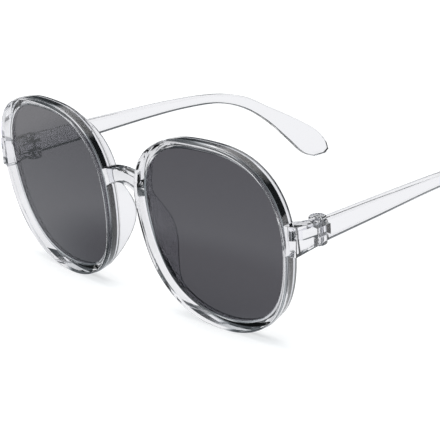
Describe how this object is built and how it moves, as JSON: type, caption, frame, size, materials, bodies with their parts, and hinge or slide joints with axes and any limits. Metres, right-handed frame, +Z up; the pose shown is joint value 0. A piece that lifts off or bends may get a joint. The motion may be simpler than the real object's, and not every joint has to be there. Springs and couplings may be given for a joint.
{
  "type": "sunglasses",
  "caption": "Oversized rounded sunglasses in clear plastic with flat grey lenses, moulded nose pads and folding temples on screw hinges.",
  "frame": {"origin": "on the table, midway across the front and midway from the front of the rims to the temple tips", "axes": "+X to the wearer's left, +Y from the front back along the temples, +Z up from the table"},
  "size_m": [0.1466, 0.1602, 0.0615],
  "materials": {
    "clear_plastic": "clear polished",
    "grey_lens": "polished",
    "screw_steel": "plain"
  },
  "bodies": {
    "front": {"front_frame": "clear_plastic", "lens_left": "grey_lens", "lens_right": "grey_lens"},
    "temple_left": {"temple_left": "clear_plastic", "hinge_screw_left": "screw_steel"},
    "temple_right": {"temple_right": "clear_plastic", "hinge_screw_right": "screw_steel"}
  },
  "joints": [
    {"name": "hinge_left", "type": "hinge", "parent": "front", "child": "temple_left", "pos_m": [0.07, -0.0602, 0.03671], "axis": [0, 0, 1], "range_deg": [0, 88]},
    {"name": "hinge_right", "type": "hinge", "parent": "front", "child": "temple_right", "pos_m": [-0.07, -0.0602, 0.03671], "axis": [0, 0, -1], "range_deg": [0, 84]}
  ]
}
